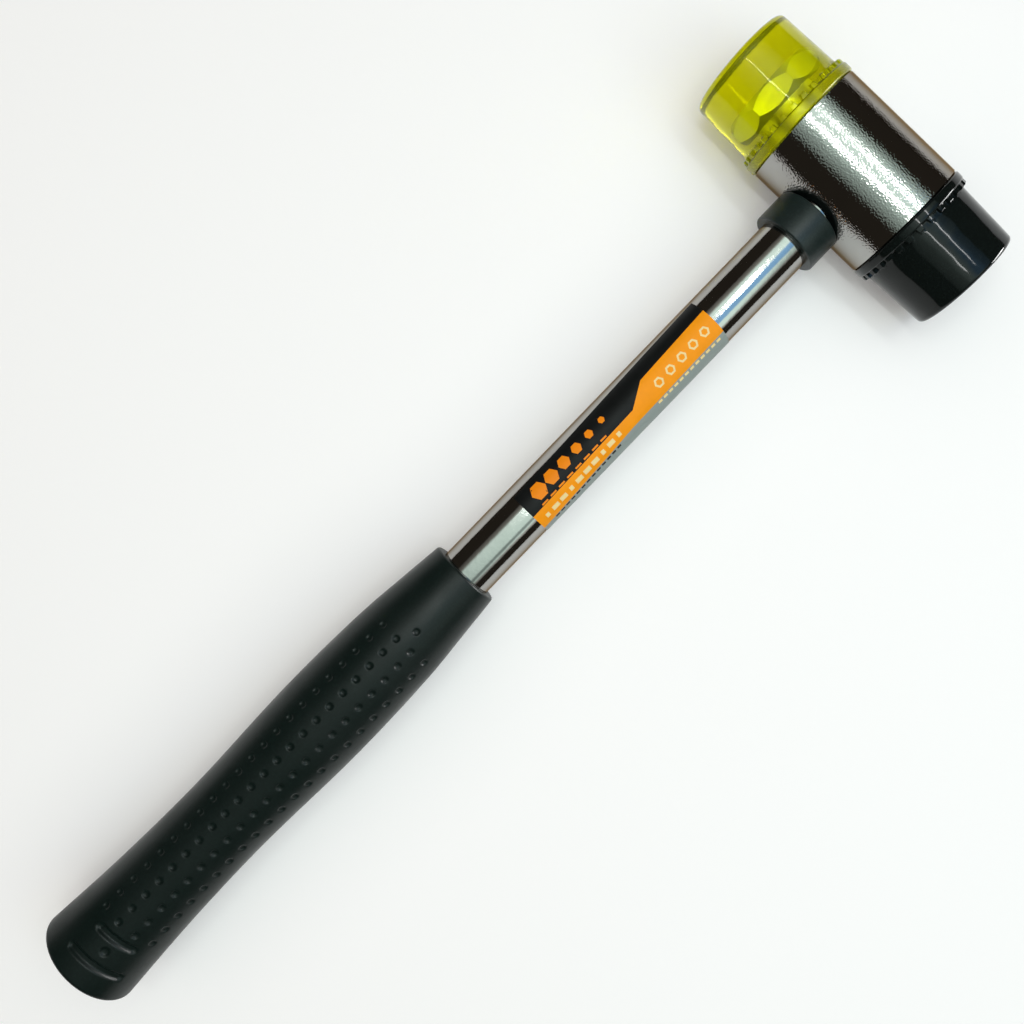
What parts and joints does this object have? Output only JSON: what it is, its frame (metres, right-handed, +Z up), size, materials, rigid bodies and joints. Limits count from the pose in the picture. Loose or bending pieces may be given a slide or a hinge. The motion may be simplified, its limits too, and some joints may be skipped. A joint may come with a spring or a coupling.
{
  "type": "soft face hammer",
  "caption": "Two-way soft face hammer: steel barrel with a clear plastic face and a rubber face that screw in, on a chromed tube shaft with a moulded rubber grip.",
  "frame": {"origin": "the point where the shaft's axis meets the grip's flat butt end", "axes": "+X along the shaft from the butt to the head, +Y along the barrel towards the clear face, +Z up from the side that the hammer lies on"},
  "size_m": [0.3102, 0.0841, 0.0356],
  "materials": {
    "chromed_steel": "bright chrome plate",
    "clear_plastic": "see-through yellow-green moulding",
    "plated_steel": "zinc plated",
    "spring_steel": "blackened",
    "face_rubber": "glossy moulded rubber",
    "plain_steel": "plain",
    "bung_plastic": "plain",
    "collar_rubber": "satin",
    "label_film": "printed film",
    "grip_rubber": "satin moulded rubber"
  },
  "bodies": {
    "hammer": {"head_barrel": "chromed_steel", "shaft_tube": "chromed_steel", "shaft_expander": "plain_steel", "shaft_end_bung": "bung_plastic", "shaft_collar": "collar_rubber", "shaft_label": "label_film", "hand_grip": "grip_rubber"},
    "clear_washer": {"clear_lock_washer": "spring_steel"},
    "clear_screw_face": {"clear_face": "clear_plastic", "clear_face_bolt": "plated_steel"},
    "rubber_washer": {"rubber_lock_washer": "spring_steel"},
    "rubber_screw_face": {"rubber_face": "face_rubber", "rubber_face_bolt": "plated_steel"}
  },
  "joints": [
    {"name": "clear_face_travel", "type": "slide", "parent": "hammer", "child": "clear_washer", "axis": [0, 1, 0], "range_m": [0, 0.00962]},
    {"name": "clear_face_turn", "type": "hinge", "parent": "clear_washer", "child": "clear_screw_face", "pos_m": [0.2923, 0.01885, 0], "axis": [0, 1, 0], "range_deg": [0, 1980]},
    {"name": "rubber_face_travel", "type": "slide", "parent": "hammer", "child": "rubber_washer", "axis": [0, -1, 0], "range_m": [0, 0.00962]},
    {"name": "rubber_face_turn", "type": "hinge", "parent": "rubber_washer", "child": "rubber_screw_face", "pos_m": [0.2923, -0.01885, 0], "axis": [0, -1, 0], "range_deg": [0, 1980]}
  ],
  "couplings": [
    {"joint": "clear_face_travel", "follows": "clear_face_turn", "m_per_rad": 0.00027852},
    {"joint": "rubber_face_travel", "follows": "rubber_face_turn", "m_per_rad": 0.00027852}
  ]
}
